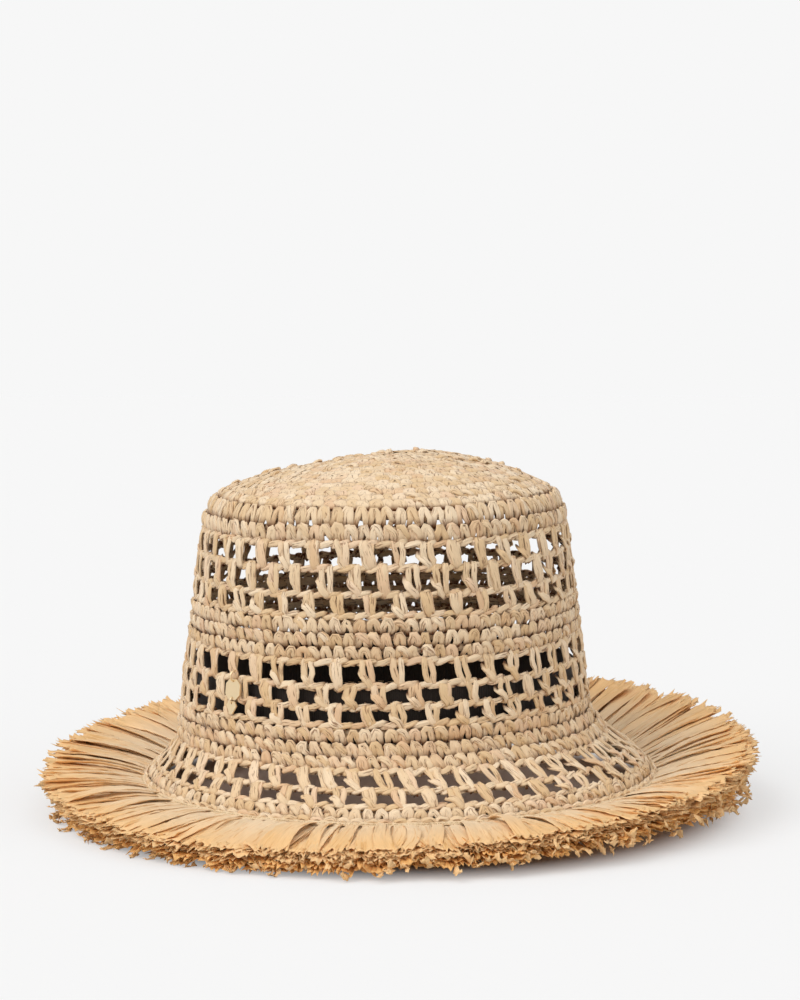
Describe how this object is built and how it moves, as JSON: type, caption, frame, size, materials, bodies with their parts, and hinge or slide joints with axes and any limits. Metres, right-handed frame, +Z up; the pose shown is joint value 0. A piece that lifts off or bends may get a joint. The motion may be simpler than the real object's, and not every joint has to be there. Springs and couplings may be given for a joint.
{
  "type": "straw sun hat",
  "caption": "Crocheted raffia sun hat with an openwork crown, a short flared brim edged with a wide frayed ribbon fringe, a ribbon sweatband and a small hanging charm.",
  "frame": {"origin": "on the surface that the hat stands on, under the middle of its fringe", "axes": "+Z up through the crown, -Y the front of the hat, +X the wearer's left when the hat is worn facing -Y"},
  "size_m": [0.3354, 0.3354, 0.166],
  "materials": {
    "crocheted_raffia": "matte paper raffia with a faint sheen along the folds",
    "raffia_ribbon": "matte pleated raffia ribbon, translucent and golden towards the frayed ends",
    "tape": "matte narrow woven tape",
    "thread": "matte polyester sewing thread",
    "grosgrain": "matte ribbed ribbon",
    "gold_plate": "soft satin gold plating on brass"
  },
  "bodies": {
    "hat": {"crown_tip": "crocheted_raffia", "shoulder_round_1": "crocheted_raffia", "shoulder_round_2": "crocheted_raffia", "upper_mesh_round_1": "crocheted_raffia", "upper_mesh_round_2": "crocheted_raffia", "upper_mesh_round_3": "crocheted_raffia", "middle_round_1": "crocheted_raffia", "middle_round_2": "crocheted_raffia", "middle_round_3": "crocheted_raffia", "lower_mesh_round_1": "crocheted_raffia", "lower_mesh_round_2": "crocheted_raffia", "lower_mesh_round_3": "crocheted_raffia", "base_round_1": "crocheted_raffia", "base_round_2": "crocheted_raffia", "base_round_3": "crocheted_raffia", "brim_mesh_round_1": "crocheted_raffia", "brim_mesh_round_2": "crocheted_raffia", "brim_edge_round": "crocheted_raffia", "fringe_tape": "tape", "fringe_seam_inner": "thread", "fringe_seam_outer": "thread", "fringe_top_layer": "raffia_ribbon", "fringe_under_layer": "raffia_ribbon", "sweatband": "grosgrain", "sweatband_stitching": "thread"},
    "jump_ring": {"charm_ring": "gold_plate"},
    "plate": {"charm_plate": "gold_plate"},
    "drop": {"charm_link": "gold_plate", "charm_drop": "gold_plate"}
  },
  "joints": [
    {"name": "charm_swing_out", "type": "hinge", "parent": "hat", "child": "jump_ring", "pos_m": [-0.07388, -0.06668, 0.0707], "axis": [-0.7071, 0.7071, 0], "range_deg": [0, 95]},
    {"name": "charm_swing_side", "type": "hinge", "parent": "jump_ring", "child": "plate", "pos_m": [-0.07408, -0.06688, 0.06842], "axis": [-0.7019, -0.7019, 0.1213], "range_deg": [-35, 35]},
    {"name": "drop_swing_out", "type": "hinge", "parent": "plate", "child": "drop", "pos_m": [-0.07482, -0.06762, 0.05983], "axis": [-0.7071, 0.7071, 0], "range_deg": [0, 60]}
  ]
}
